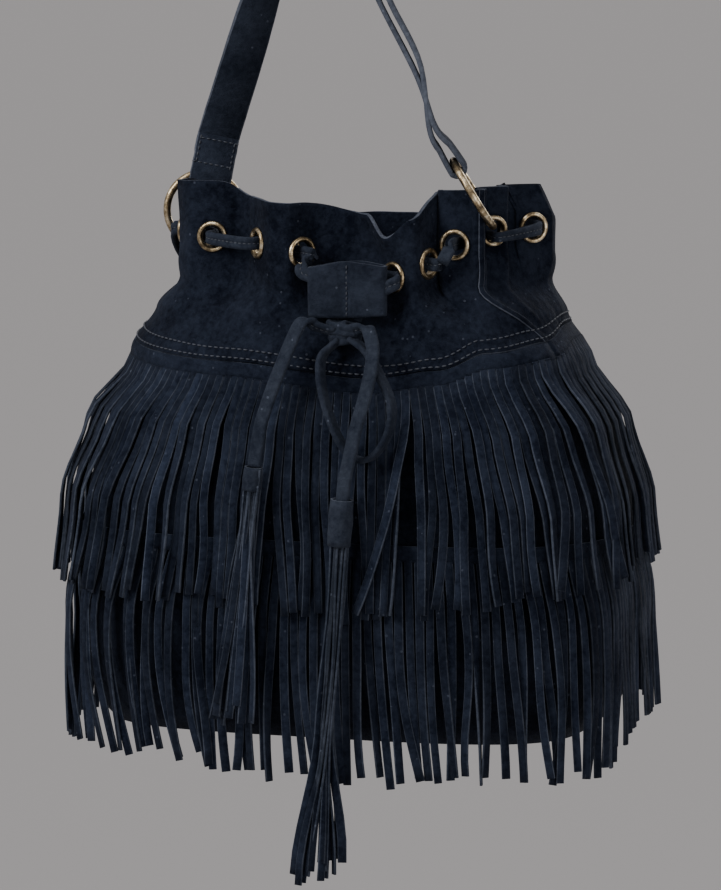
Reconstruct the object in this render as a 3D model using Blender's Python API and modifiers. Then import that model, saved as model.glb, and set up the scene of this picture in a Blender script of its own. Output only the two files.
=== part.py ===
"""Fringed suede bucket bag with a drawstring neck, hanging by its shoulder strap.

Metres, +Z up, the front towards -Y. The origin is the underside of the strap's top, where
the bag hangs. Places in this script are measured from the middle of the bag's base.
"""
import math

import bmesh
import bpy
from mathutils import Matrix, Vector

HANG_AT = (-0.0140, -0.0158, 0.384)  # the strap's hanging face, from the middle of the base

# The oval of the bag at each height: half width, half depth and squareness.
WIDTHS = [(0.0, 0.112), (0.010, 0.120), (0.025, 0.125), (0.060, 0.127), (0.100, 0.1245),
          (0.135, 0.117), (0.165, 0.104), (0.185, 0.094), (0.205, 0.084), (0.245, 0.080)]
DEPTHS = [(0.0, 0.068), (0.010, 0.075), (0.025, 0.080), (0.060, 0.081), (0.100, 0.079),
          (0.135, 0.074), (0.165, 0.067), (0.185, 0.061), (0.205, 0.054), (0.245, 0.051)]
SQUARENESS = [(0.0, 3.6), (0.100, 3.2), (0.165, 2.5), (0.205, 2.0), (0.245, 2.0)]
SEAMS = [(0.0, 80.0), (0.060, 78.0), (0.176, 67.0), (0.200, 50.0), (0.245, 50.0)]
NECK_SEAM = 50.0
FRONT = (-130, 50)  # the yoke's halves, from side seam to side seam
BACK = (50, 230)
SEAM_GAP = 0.2  # degrees between a side seam and each panel
SEAM_FLAT = 1.7  # and how far the wall runs straight beside it

# Heights round the bag, by angle from the front: the neck's edge and the yoke's lower seam.
RIM = [(-180, 0.222), (-131, 0.224), (-104, 0.231), (-85, 0.233), (-65, 0.243), (-43, 0.244),
       (-30, 0.238), (-8, 0.237), (12, 0.232), (19, 0.222), (26, 0.231), (38, 0.243),
       (56, 0.244), (90, 0.243), (130, 0.227), (180, 0.222)]
YOKE_SEAM = [(-180, 0.173), (-90, 0.172), (-23, 0.167), (13, 0.162), (29, 0.166),
             (43, 0.173), (65, 0.176), (90, 0.181), (180, 0.173)]

# Each eyelet: its angle, its height, and how far the neck's pleats turn it.
EYELETS = [(-170, 0.205, 40), (-146, 0.206, -40), (-104, 0.2065, 38), (-65, 0.220, -40),
           (-43.5, 0.219, 35), (-23, 0.218, -35), (-7.5, 0.215, 55), (21.5, 0.205, -45),
           (32.5, 0.211, 50), (42.0, 0.219, -30), (58.0, 0.2245, 0), (84, 0.224, -38),
           (104, 0.218, 40), (126, 0.210, -40), (146, 0.206, 40), (168, 0.205, -40)]
RING_EYELETS = (2, 10)
FRONT_RUN = 6  # the pleat that the keeper hangs in front of
PLEAT = 0.007
FRONT_PLEAT = 0.011
EYELET_PATCH = 0.0076  # half the flat patch that an eyelet sits on

SUEDE = 0.0016
BODY_SUEDE = 0.0014
GAP = 0.0004
BODY_SET_IN = 0.0034  # the body's skin lies this far inside the oval, under the yoke and the fringe
LAP = 0.006  # the body's top edge runs this far up behind the yoke

HEADER = 0.007
HEADER_GAP = 0.0012
STRIP = 0.0102
SLIT = 0.0014
UPPER_FRINGE = 0.103
LOWER_FRINGE_TOP = 0.090
LOWER_FRINGE_TIP = -0.014
BELLY = 0.045  # below this height the fringe hangs plumb
BODY_ROWS = (0.0, 0.010, 0.025, 0.060, 0.100, 0.135, 0.155)

EYELET_OUTER = 0.0070
EYELET_BACK = 0.0064
EYELET_BORE = 0.0049
EYELET_WALL = 0.0006
EYELET_LIP = 0.0009
LACE = 0.0044
RING_RADIUS = 0.0168
RING_WIRE = 0.0017
STRAP_WIDTH = 0.019
STRAP_THICK = 0.0022
STRAP_LAP = 0.0175  # the strap's folded end is sewn down over this length
WIRE_UP = 0.0022  # a ring bears on the top of its eyelet, and the lace passes under it
LACE_DOWN = 0.00235
LACE_CLEAR = 0.0058  # the lace runs straight through an eyelet, this far on each side
STRAP_TURN = math.radians(17)  # the plane the strap hangs in, from the bag's front

COLOURS = {
    "suede": ((0.020, 0.023, 0.035, 1), 0.92, 0.0),
    "brass": ((0.42, 0.27, 0.11, 1), 0.38, 1.0),
}

KEEPER_SIZE = (0.036, 0.008, 0.024)
KEEPER_AT = (0.013, -0.062, 0.200)
KNOT_AT = (0.0125, -0.066, 0.1815)
KNOT_SIZE = (0.0095, 0.0065, 0.0050)

LACE_TO_LEFT = [(-0.0055, -0.0555, 0.2135), (-0.0085, -0.0595, 0.210), (-0.0075, -0.062, 0.207),
                (-0.001, -0.062, 0.2045), (0.005, -0.062, 0.199), (0.0082, -0.062, 0.193),
                (0.009, -0.0623, 0.1873)]
LACE_TO_RIGHT = [(0.0285, -0.0545, 0.2055), (0.033, -0.0568, 0.205), (0.0350, -0.060, 0.204),
                 (0.0315, -0.062, 0.202), (0.025, -0.062, 0.1985), (0.019, -0.062, 0.193),
                 (0.0165, -0.0623, 0.1873)]
END_LEFT = [(0.0012, -0.0715, 0.1850), (-0.0012, -0.0730, 0.1872), (-0.0045, -0.0752, 0.1862),
            (-0.0080, -0.0776, 0.1784), (-0.0119, -0.0815, 0.1669), (-0.0157, -0.0841, 0.1553),
            (-0.0190, -0.0870, 0.1428), (-0.0205, -0.0892, 0.1310), (-0.0211, -0.0903, 0.1240)]
END_RIGHT = [(0.0240, -0.0705, 0.1845), (0.0268, -0.0742, 0.1828), (0.0300, -0.0798, 0.1763),
             (0.0305, -0.0851, 0.1670), (0.0286, -0.0882, 0.1555), (0.0257, -0.0908, 0.1434),
             (0.0237, -0.0930, 0.1319), (0.0215, -0.0942, 0.1200), (0.0207, -0.0944, 0.1120)]
LOOP = [(0.0235, -0.0712, 0.1755), (0.0282, -0.0750, 0.1712), (0.0325, -0.0777, 0.1650),
        (0.0380, -0.0805, 0.1553), (0.0394, -0.0821, 0.1475), (0.0374, -0.0838, 0.1381),
        (0.0320, -0.0845, 0.1305), (0.0265, -0.0848, 0.1282), (0.0205, -0.0845, 0.1307),
        (0.0160, -0.0842, 0.1369), (0.0124, -0.0834, 0.1440), (0.0085, -0.0816, 0.1537),
        (0.0058, -0.0790, 0.1640), (0.0055, -0.0745, 0.1722)]
TASSEL_LEFT = ((-0.0212, -0.0904, 0.1236), (-0.0321, -0.0925, 0.0075))
TASSEL_RIGHT = ((0.0206, -0.0945, 0.1115), (0.0082, -0.0950, -0.0640))


def clear_scene():
    for thing in list(bpy.data.objects):
        bpy.data.objects.remove(thing)


def new_collection(name):
    group = bpy.data.collections.new(name)
    bpy.context.scene.collection.children.link(group)
    return group


def finish_of(name):
    if name in bpy.data.materials:
        return bpy.data.materials[name]
    colour, rough, metal = COLOURS[name]
    finish = bpy.data.materials.new(name)
    finish.use_nodes = True
    shader = finish.node_tree.nodes["Principled BSDF"]
    shader.inputs["Base Color"].default_value = colour
    shader.inputs["Roughness"].default_value = rough
    shader.inputs["Metallic"].default_value = metal
    return finish


def add(name, bm, finish, smooth=False, group=None):
    """An object in the bag's collection, with the faces turned outwards."""
    mesh = bpy.data.meshes.new(name)
    bm.to_mesh(mesh)
    bm.free()
    for face in mesh.polygons:
        face.use_smooth = smooth
    thing = bpy.data.objects.new(name, mesh)
    mesh.materials.append(finish_of(finish))
    (group or BAG).objects.link(thing)
    return thing


def at(x, y, height):
    """A place measured from the middle of the base, in the part's frame."""
    return Vector((x, y, height)) - Vector(HANG_AT)


def between(stops, x):
    """The value at x on a smooth line through the stops."""
    if x <= stops[0][0]:
        return stops[0][1]
    for (x0, y0), (x1, y1) in zip(stops, stops[1:]):
        if x <= x1:
            share = (x - x0) / (x1 - x0)
            return y0 + (y1 - y0) * (3 - 2 * share) * share * share
    return stops[-1][1]


def turn_of(angle):
    return (angle + 180) % 360 - 180


def oval(angle, height):
    """A point of the bag's plan, in metres, without its pleats."""
    across, back = math.sin(math.radians(angle)), -math.cos(math.radians(angle))
    power = between(SQUARENESS, height)
    fit = (abs(across) ** power + abs(back) ** power) ** (-1 / power)
    return Vector((between(WIDTHS, height) * across * fit, between(DEPTHS, height) * back * fit))


def outward(angle, height):
    step = oval(angle + 0.5, height) - oval(angle - 0.5, height)
    return Vector((step.y, -step.x)).normalized()


def skin(angle, height, out=0.0):
    """A point on the bag below the pleats, out metres off its face."""
    place = oval(angle, height) + outward(angle, height) * out
    return at(place.x, place.y, height)


def smooth_through(points, steps):
    """Points on a Catmull-Rom curve through the given ones."""
    ends = [2 * points[0] - points[1], *points, 2 * points[-1] - points[-2]]
    line = []
    for a, b, c, d in zip(ends, ends[1:], ends[2:], ends[3:]):
        for k in range(steps):
            t = k / steps
            line.append(0.5 * (2 * b + (c - a) * t + (2 * a - 5 * b + 4 * c - d) * t * t
                               + (3 * b - a - 3 * c + d) * t ** 3))
    return [*line, points[-1]]


def eyelet(index):
    """An eyelet's centre, the way it faces, and the way its wall runs."""
    angle, height, turn = EYELETS[index]
    place = oval(angle, height)
    facing = outward(angle, height).to_3d()
    facing.rotate(Matrix.Rotation(math.radians(turn), 3, "Z"))
    along = Vector((-facing.y, facing.x, 0))
    return at(place.x, place.y, height), facing, along


def eyelet_height(angle):
    heights = [(a, h) for a, h, _ in EYELETS]
    heights = [(heights[-1][0] - 360, heights[-1][1]), *heights, (heights[0][0] + 360, heights[0][1])]
    return between(heights, turn_of(angle))


def pleat_columns():
    """The yoke's columns: an angle, and how far the pleats shift it at the eyelets' height."""
    columns = []
    for i, (angle, height, _) in enumerate(EYELETS):
        following = EYELETS[(i + 1) % len(EYELETS)][0]
        span = (following - angle) % 360
        along = eyelet(i)[2].to_2d()
        for side in (-1, 0, 1):
            reach = min(4.0, 0.3 * span) if side > 0 else 3.5
            column = angle + side * reach
            place = oval(angle, height) + along * side * EYELET_PATCH
            shift = place - oval(column, height)
            columns.append((column, shift, angle))
        deep = FRONT_PLEAT if i == FRONT_RUN else PLEAT
        sign = -1 if i % 2 == 0 else 1
        between_eyelets = max(1, int(span / 8))
        for k in range(between_eyelets):
            share = 0.5 + 0.6 * ((k + 0.5) / between_eyelets - 0.5)
            column = angle + share * span
            shift = outward(column, height) * sign * deep * math.sin(math.pi * share)
            columns.append((column, shift, column))
    return columns


def sheared(angle, height, middle):
    """A yoke column's angle at this height: the columns near a side seam lean with it."""
    return angle + (between(SEAMS, height) - NECK_SEAM) * ((angle - middle) / 90) ** 4


def seam_line(angle, middle):
    """Where a column that is at this angle at the neck meets the yoke's lower seam."""
    height = 0.172
    for _ in range(4):
        height = between(YOKE_SEAM, turn_of(sheared(angle, height, middle)))
    return height


def yoke_panel(name, first, last):
    """Half of the neck panel, from the side seam at first to the one at last."""
    columns = [(a if a > first else a + 360, shift, level)
               for a, shift, level in ((turn_of(a), shift, level) for a, shift, level in pleat_columns())]
    inner = sorted((c for c in columns if first + 2.2 < c[0] < last - 2.2), key=lambda c: c[0])
    middle = (first + last) / 2
    swell = outward(first, 0.22) * PLEAT, outward(last, 0.22) * PLEAT
    starts = [(first + SEAM_GAP, swell[0], first), (first + SEAM_FLAT, swell[0], first)]
    ends = [(last - SEAM_FLAT, swell[1], last), (last - SEAM_GAP, swell[1], last)]
    bm = bmesh.new()
    grid = []
    for angle, shift, level in [*starts, *inner, *ends]:
        low = seam_line(angle, middle)
        mid = eyelet_height(turn_of(level))
        top = between(RIM, turn_of(angle))
        rise = mid - EYELET_PATCH - low
        rows = [(low, 0.0), (low + LAP, 0.02), (low + 0.35 * rise, 0.12), (low + 0.70 * rise, 0.60),
                (mid - EYELET_PATCH, 1.0), (mid, 1.0), (mid + EYELET_PATCH, 1.0), (top, 1.06)]
        column = []
        for height, share in rows:
            line = sheared(angle, height, middle)
            place = (oval(angle, mid) if share >= 1 else oval(line, height)) + shift * share
            column.append(bm.verts.new(at(place.x, place.y, height)))
        grid.append(column)
    for left, right in zip(grid, grid[1:]):
        for k in range(len(left) - 1):
            bm.faces.new((left[k], right[k], right[k + 1], left[k + 1]))
    panel = add(name, bm, "suede")
    shell = panel.modifiers.new("thickness", "SOLIDIFY")
    shell.thickness = SUEDE
    shell.offset = -1
    shell.use_even_offset = False
    for i in range(len(EYELETS)):
        centre, facing, _ = eyelet(i)
        angle = EYELETS[i][0] if EYELETS[i][0] > first else EYELETS[i][0] + 360
        if first < angle < last:
            hole = EYELET_BORE + EYELET_WALL + GAP
            cut(panel, punch(name + "_hole", centre, facing, hole, 0.0046))
    return panel


def punch(name, centre, facing, radius, depth):
    bm = bmesh.new()
    bmesh.ops.create_cone(bm, cap_ends=True, segments=16, radius1=radius, radius2=radius, depth=depth)
    bm.transform(Matrix.Translation(centre) @ facing.to_track_quat("Z", "Y").to_matrix().to_4x4())
    tool = add(name, bm, "suede", group=TOOLS)
    tool.hide_render = True
    tool.display_type = "WIRE"
    return tool


def cut(thing, tool):
    step = thing.modifiers.new("hole", "BOOLEAN")
    step.operation = "DIFFERENCE"
    step.solver = "EXACT"
    step.object = tool


def body_panel(name, side):
    """Half of the bag's body, from one side seam to the other."""
    bm = bmesh.new()
    grid = []
    steps = 22
    for k in range(steps + 1):
        share = k / steps
        column = []
        for row in range(8):
            guess = BODY_ROWS[row] if row < 7 else 0.175
            start = between(SEAMS, guess) + side - 180 + SEAM_GAP
            angle = start + share * (180 - 2 * SEAM_GAP)
            top = between(YOKE_SEAM, turn_of(angle)) + LAP
            height = BODY_ROWS[row] if row < 7 else top
            column.append(bm.verts.new(skin(angle, height, -BODY_SET_IN)))
        grid.append(column)
    for left, right in zip(grid, grid[1:]):
        for k in range(len(left) - 1):
            bm.faces.new((left[k], right[k], right[k + 1], left[k + 1]))
    panel = add(name, bm, "suede")
    shell = panel.modifiers.new("thickness", "SOLIDIFY")
    shell.thickness = BODY_SUEDE
    shell.offset = -1
    shell.use_even_offset = False
    return panel


def base_panel():
    bm = bmesh.new()
    inset = BODY_SET_IN + BODY_SUEDE + 2 * GAP
    outline = [skin(angle, 0.0, -inset) for angle in range(0, 360, 10)]
    face = bm.faces.new([bm.verts.new(point) for point in outline])
    top = bmesh.ops.extrude_face_region(bm, geom=[face])
    corners = [corner for corner in top["geom"] if isinstance(corner, bmesh.types.BMVert)]
    bmesh.ops.translate(bm, vec=(0, 0, SUEDE), verts=corners)
    bmesh.ops.recalc_face_normals(bm, faces=bm.faces)
    return add("base_panel", bm, "suede")


def even_angles(first, last, width, height):
    """Angles that split a stretch of the oval into equal strips, near the given width."""
    samples = [first + (last - first) * k / 360 for k in range(361)]
    along = [0.0]
    for a, b in zip(samples, samples[1:]):
        along.append(along[-1] + (oval(b, height) - oval(a, height)).length)
    count = round(along[-1] / width)
    table = list(zip(along, samples))
    edges = []
    for k in range(count + 1):
        goal = along[-1] * k / count
        spot = next(i for i, (d, _) in enumerate(table) if d >= goal - 1e-9)
        edges.append(table[spot][1])
    return edges, count


def fringe(name, first, last, top_of, tip_of, drift):
    """A strip of suede cut into strands below its header; drift(height, top) is how far out it hangs."""
    edges, count = even_angles(first + SEAM_GAP, last - SEAM_GAP, STRIP, 0.12)
    half = (edges[1] - edges[0]) * 0.5 * SLIT / STRIP
    columns = []
    for k in range(count):
        left = edges[k] + (half if k else 0)
        right = edges[k + 1] - (half if k < count - 1 else 0)
        columns += [(left, k), (right, k)]
    bm = bmesh.new()
    grid = []
    for angle, strand in columns:
        top = top_of(angle)
        tip = tip_of(angle) + 0.004 * math.sin(strand * 2.4)
        rows = [top, top - HEADER, top + 0.5 * (tip - top), tip]
        grid.append([bm.verts.new(skin_plumb(angle, h, drift(h, top))) for h in rows])
    for k, (left, right) in enumerate(zip(grid, grid[1:])):
        rows = 3 if k % 2 == 0 else 1
        for row in range(rows):
            bm.faces.new((left[row], left[row + 1], right[row + 1], right[row]))
    strip = add(name, bm, "suede")
    shell = strip.modifiers.new("thickness", "SOLIDIFY")
    shell.thickness = BODY_SUEDE
    shell.offset = -1
    shell.use_even_offset = False
    return strip


def skin_plumb(angle, height, out):
    place = skin(angle, max(height, BELLY), out)
    return place - Vector((0, 0, max(0.0, BELLY - height)))


def upper_drift(height, top):
    return 0.0046 * min(1.0, max(0.0, (top - HEADER - height) / 0.045))


def lower_drift(height, top):
    return 0.0010 * min(1.0, max(0.0, (top - HEADER - height) / 0.040))


def grommet(index):
    """A rolled brass eyelet: a barrel through the suede with a lip on each side."""
    centre, facing, _ = eyelet(index)
    inner = -SUEDE - 0.0005
    outer = 0.0005
    profile = [(EYELET_BORE, inner - EYELET_LIP), (EYELET_BACK, inner), (EYELET_BORE + EYELET_WALL, inner),
               (EYELET_BORE + EYELET_WALL, outer), (EYELET_OUTER, outer),
               (EYELET_BORE + 0.0012, outer + EYELET_LIP), (EYELET_BORE, outer + 0.4 * EYELET_LIP)]
    return lathe(f"grommet_{index + 1:02d}", profile, 16, centre, facing, "brass")


def lathe(name, profile, segments, centre, axis, finish, squash=1.0):
    """A closed turned shape from (radius, distance along the axis) points."""
    bm = bmesh.new()
    verts = [bm.verts.new((radius, 0, along)) for radius, along in profile]
    loop = [bm.edges.new((a, b)) for a, b in zip(verts, verts[1:])]
    closed = profile[0][0] > 0
    if closed:
        loop.append(bm.edges.new((verts[-1], verts[0])))
    bmesh.ops.spin(bm, geom=verts + loop, cent=(0, 0, 0), axis=(0, 0, 1), angle=math.tau,
                   steps=segments, use_merge=True)
    bmesh.ops.remove_doubles(bm, verts=bm.verts, dist=1e-6)
    bmesh.ops.recalc_face_normals(bm, faces=bm.faces)
    side = Vector((0, 1, 0)).cross(axis).normalized() if abs(axis.y) < 0.9 else Vector((1, 0, 0))
    side = (side - axis * side.dot(axis)).normalized()
    frame = Matrix((side, axis.cross(side) * squash, axis)).transposed().to_4x4()
    bm.transform(Matrix.Translation(centre) @ frame)
    return add(name, bm, finish, smooth=True)


def cord(name, points, diameter, finish="suede", group=None, resolution=2):
    data = bpy.data.curves.new(name, "CURVE")
    data.dimensions = "3D"
    data.bevel_depth = diameter / 2
    data.bevel_resolution = resolution
    data.use_fill_caps = True
    line = data.splines.new("POLY")
    line.points.add(len(points) - 1)
    for point, place in zip(line.points, points):
        point.co = (*place, 1)
    data.materials.append(finish_of(finish))
    thing = bpy.data.objects.new(name, data)
    (group or BAG).objects.link(thing)
    return thing


def neck_route():
    """The lace: from the keeper in at the front right eyelet, round the back, out at the front left."""
    count = len(EYELETS)
    stops = [at(*p) for p in reversed(LACE_TO_RIGHT)]
    bores = set()
    for step in range(count):
        i = (FRONT_RUN + 1 + step) % count
        centre, facing, _ = eyelet(i)
        if i in RING_EYELETS:
            centre = centre - Vector((0, 0, LACE_DOWN))
        way = facing if i % 2 == 1 else -facing  # the lace comes to an odd eyelet from outside
        bores.add(2 * len(stops) + 1)
        stops += [centre + way * LACE_CLEAR, centre - way * LACE_CLEAR]
    stops += [at(*p) for p in LACE_TO_LEFT]
    line = smooth_through(stops, 2)
    return [point for k, point in enumerate(line) if k not in bores]


def keeper():
    """A flat sleeve that the two lace ends run down through."""
    bm = bmesh.new()
    bmesh.ops.create_cube(bm, size=1)
    bm.transform(Matrix.Translation(at(*KEEPER_AT)) @ Matrix.Diagonal((*KEEPER_SIZE, 1)))
    bmesh.ops.bevel(bm, geom=bm.edges[:], offset=0.0018, segments=2, affect="EDGES", profile=0.5)
    sleeve = add("keeper", bm, "suede")
    for name, route in (("left", LACE_TO_LEFT), ("right", LACE_TO_RIGHT)):
        line = smooth_through([at(*p) for p in route[1:]] + [at(route[-1][0], route[-1][1], 0.182)], 2)
        bore = cord("keeper_bore_" + name, line, LACE + 0.0011, group=TOOLS)
        bore.hide_render = True
        bore.display_type = "WIRE"
        solid = bpy.data.objects.new("keeper_cut_" + name, bpy.data.meshes.new_from_object(
            bore.evaluated_get(bpy.context.evaluated_depsgraph_get())))
        TOOLS.objects.link(solid)
        solid.hide_render = True
        solid.display_type = "WIRE"
        cut(sleeve, solid)
    return sleeve


def knot():
    bm = bmesh.new()
    bmesh.ops.create_uvsphere(bm, u_segments=14, v_segments=9, radius=1)
    bm.transform(Matrix.Translation(at(*KNOT_AT)) @ Matrix.Diagonal((*KNOT_SIZE, 1)))
    return add("drawstring_knot", bm, "suede", smooth=True)


def tassel(name, ends, profile, squash):
    top, tip = at(*ends[0]), at(*ends[1])
    axis = (tip - top).normalized()
    long = (tip - top).length
    points = [(0.0, 0.0), *[(radius, share * long) for radius, share in profile], (0.0, long)]
    return lathe(name, points, 12, top, axis, "suede", squash)


def turned(across, back, up):
    """A direction from its parts across, behind and up the plane that the strap hangs in."""
    return Matrix.Rotation(STRAP_TURN, 3, "Z") @ Vector((across, back, up))


def hung(across, back, height):
    """A place measured across, behind and up that plane."""
    return at(*turned(across, back, height))


def ring_frames():
    """For each ring: its lowest wire point, the way up to its strap, and the way its wire runs there."""
    left = eyelet(RING_EYELETS[0])[0] + Vector((0, 0, WIRE_UP))
    right = eyelet(RING_EYELETS[1])[0] + Vector((0, 0, WIRE_UP))
    lean_left = turned(0.196, 0, 0.981)
    lean_right = turned(-0.523, 0, 0.852)
    return ((left, lean_left, turned(0.981, 0, -0.196)), (right, lean_right, turned(0, 1, 0)))


def ring(name, bottom, lean, along):
    """A brass ring on its own axis, which is the object's Z."""
    bpy.ops.mesh.primitive_torus_add(major_segments=32, minor_segments=8, major_radius=RING_RADIUS,
                                     minor_radius=RING_WIRE)
    thing = bpy.context.object
    thing.name = name
    thing.data.name = name
    thing.data.materials.append(finish_of("brass"))
    thing.data.shade_smooth()
    for group in list(thing.users_collection):
        group.objects.unlink(thing)
    BAG.objects.link(thing)
    frame = Matrix((lean, lean.cross(along).cross(lean), lean.cross(along))).transposed().to_4x4()
    thing.matrix_world = Matrix.Translation(bottom + lean * RING_RADIUS) @ frame
    return thing


def fold(bottom, lean, along):
    """The strap's turn round a ring's top wire: the sewn end, the turn, and the long leaf."""
    crown = bottom + lean * 2 * RING_RADIUS
    face = lean.cross(along)
    deep = -0.0031
    turn = RING_WIRE + 0.0005 + STRAP_THICK / 2
    stations = [crown + lean * STRAP_LAP + face * 0.0016, crown + lean * 0.007 + face * 0.0027]
    for k in range(7):
        angle = math.pi * k / 6
        stations.append(crown + lean * (deep - turn * math.sin(angle)) + face * turn * math.cos(angle))
    stations += [crown + lean * 0.007 - face * 0.0027, crown + lean * STRAP_LAP - face * 0.0012]
    return stations


def strap():
    """One ribbon of suede: folded and sewn round the left ring, over the top, round the right ring."""
    (low_left, lean_left, along_left), (low_right, lean_right, along_right) = ring_frames()
    left = fold(low_left, lean_left, -along_left)
    right = fold(low_right, lean_right, along_right)
    up = [hung(-0.0531, 0.0196, 0.2947), hung(-0.0446, 0.012, 0.323),
          hung(-0.0350, 0.003, 0.353), hung(-0.0290, -0.003, 0.372),
          hung(-0.0255, -0.0055, 0.3805)]
    top = [hung(-0.0215, -0.0085, 0.3851), hung(-0.0145, -0.0135, 0.3851)]
    down = [hung(-0.0098, -0.017, 0.3805), hung(-0.0065, -0.0195, 0.372),
            hung(-0.0010, -0.0235, 0.353), hung(0.0063, -0.028, 0.3287),
            hung(0.0243, -0.036, 0.2934)]
    across = (top[1] - top[0]).cross(Vector((0, 0, 1))).normalized()
    if across.dot(along_right) < 0:
        across = -across
    runs = [(p, along_left) for p in left]
    for k, p in enumerate(up):
        runs.append((p, along_left.lerp(across, min(1.0, (k + 1) / 4)).normalized()))
    runs += [(p, across) for p in top]
    for k, p in enumerate(down):
        runs.append((p, across.lerp(along_right, min(1.0, k / 3)).normalized()))
    runs += [(p, along_right) for p in reversed(right)]
    tail = [hung(0.0262, -0.036, 0.2975), hung(0.0140, -0.031, 0.3225),
            hung(0.0066, -0.028, 0.3392)]
    runs += [(p, along_right) for p in tail]
    bm = bmesh.new()
    sections = []
    for k, (place, across_here) in enumerate(runs):
        before = runs[max(k - 1, 0)][0]
        after = runs[min(k + 1, len(runs) - 1)][0]
        way = (after - before).normalized()
        wide = (across_here - way * across_here.dot(way)).normalized()
        thick = way.cross(wide)
        if runs[k][0] in top:
            thick = Vector((0, 0, 1)) if thick.z > 0 else Vector((0, 0, -1))
        a, b = wide * STRAP_WIDTH / 2, thick * STRAP_THICK / 2
        sections.append([bm.verts.new(place + s) for s in (-a - b, a - b, a + b, -a + b)])
    for near, far in zip(sections, sections[1:]):
        for j in range(4):
            bm.faces.new((near[j], near[(j + 1) % 4], far[(j + 1) % 4], far[j]))
    bm.faces.new(sections[0])
    bm.faces.new(sections[-1])
    bmesh.ops.recalc_face_normals(bm, faces=bm.faces)
    return add("strap", bm, "suede")


clear_scene()
BAG = new_collection("fringed suede bag")
TOOLS = new_collection("cutters")

yoke_panel("yoke_front", *FRONT)
yoke_panel("yoke_back", *BACK)
body_panel("body_front", 0)
body_panel("body_back", 180)
base_panel()
for side, name in ((0, "front"), (180, "back")):
    seam = between(SEAMS, 0.17) + side
    fringe("fringe_upper_" + name, seam - 180, seam,
           lambda a: between(YOKE_SEAM, turn_of(a)) - HEADER_GAP,
           lambda a: between(YOKE_SEAM, turn_of(a)) - UPPER_FRINGE, upper_drift)
    seam = between(SEAMS, 0.08) + side
    fringe("fringe_lower_" + name, seam - 180, seam,
           lambda a: LOWER_FRINGE_TOP, lambda a: LOWER_FRINGE_TIP, lower_drift)
for i in range(len(EYELETS)):
    grommet(i)
cord("drawstring", neck_route(), LACE)
cord("drawstring_end_left", smooth_through([at(*p) for p in END_LEFT], 2), LACE)
cord("drawstring_end_right", smooth_through([at(*p) for p in END_RIGHT], 2), LACE)
cord("drawstring_loop", smooth_through([at(*p) for p in LOOP], 2), LACE)
keeper()
knot()
tassel("tassel_left", TASSEL_LEFT, [(0.0037, 0.0), (0.0040, 0.08), (0.0046, 0.09), (0.0100, 0.98),
                                    (0.0096, 1.0)], 0.55)
tassel("tassel_right", TASSEL_RIGHT, [(0.0042, 0.0), (0.0050, 0.04), (0.0050, 0.13), (0.0034, 0.18),
                                      (0.0034, 0.60), (0.0092, 0.97), (0.0088, 1.0)], 0.7)
for name, frame in zip(("strap_ring_left", "strap_ring_right"), ring_frames()):
    ring(name, *frame)
strap()
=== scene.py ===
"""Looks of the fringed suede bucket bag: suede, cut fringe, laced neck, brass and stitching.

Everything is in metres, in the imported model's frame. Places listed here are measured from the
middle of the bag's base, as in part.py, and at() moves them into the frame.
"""
import math
import random

import bmesh
import bpy
from mathutils import Matrix, Vector, noise


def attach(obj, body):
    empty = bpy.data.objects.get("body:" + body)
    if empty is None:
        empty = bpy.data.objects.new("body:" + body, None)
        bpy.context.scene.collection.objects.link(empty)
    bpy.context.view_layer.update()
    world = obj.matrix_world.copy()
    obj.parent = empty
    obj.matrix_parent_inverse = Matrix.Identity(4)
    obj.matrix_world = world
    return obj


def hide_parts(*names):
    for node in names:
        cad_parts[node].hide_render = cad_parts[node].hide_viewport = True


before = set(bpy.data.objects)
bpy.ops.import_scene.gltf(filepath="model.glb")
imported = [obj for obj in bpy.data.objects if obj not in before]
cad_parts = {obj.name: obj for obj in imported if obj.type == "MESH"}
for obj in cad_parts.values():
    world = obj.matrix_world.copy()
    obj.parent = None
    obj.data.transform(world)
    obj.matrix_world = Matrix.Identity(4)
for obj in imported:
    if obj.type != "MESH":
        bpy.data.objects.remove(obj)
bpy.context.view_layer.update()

HANG_AT = (-0.0140, -0.0158, 0.384)

# The oval of the bag at each height, and the side seams' angle: the values of part.py.
WIDTHS = [(0.0, 0.112), (0.010, 0.120), (0.025, 0.125), (0.060, 0.127), (0.100, 0.1245),
          (0.135, 0.117), (0.165, 0.104), (0.185, 0.094), (0.205, 0.084), (0.245, 0.080)]
DEPTHS = [(0.0, 0.068), (0.010, 0.075), (0.025, 0.080), (0.060, 0.081), (0.100, 0.079),
          (0.135, 0.074), (0.165, 0.067), (0.185, 0.061), (0.205, 0.054), (0.245, 0.051)]
SQUARENESS = [(0.0, 3.6), (0.100, 3.2), (0.165, 2.5), (0.205, 2.0), (0.245, 2.0)]
SEAMS = [(0.0, 80.0), (0.060, 78.0), (0.176, 67.0), (0.200, 50.0), (0.245, 50.0)]
NECK_SEAM = 50.0
RIM = [(-180, 0.222), (-131, 0.224), (-104, 0.231), (-85, 0.233), (-65, 0.243), (-43, 0.244),
       (-30, 0.238), (-8, 0.237), (12, 0.232), (19, 0.222), (26, 0.231), (38, 0.243),
       (56, 0.244), (90, 0.243), (130, 0.227), (180, 0.222)]
YOKE_SEAM = [(-180, 0.173), (-90, 0.172), (-23, 0.167), (13, 0.162), (29, 0.166),
             (43, 0.173), (65, 0.176), (90, 0.181), (180, 0.173)]
EYELETS = [(-170, 0.205, 40), (-146, 0.206, -40), (-104, 0.2065, 38), (-65, 0.220, -40),
           (-43.5, 0.219, 35), (-23, 0.218, -35), (-7.5, 0.215, 55), (21.5, 0.205, -45),
           (32.5, 0.211, 50), (42.0, 0.219, -30), (58.0, 0.2245, 0), (84, 0.224, -38),
           (104, 0.218, 40), (126, 0.210, -40), (146, 0.206, 40), (168, 0.205, -40)]
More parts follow.
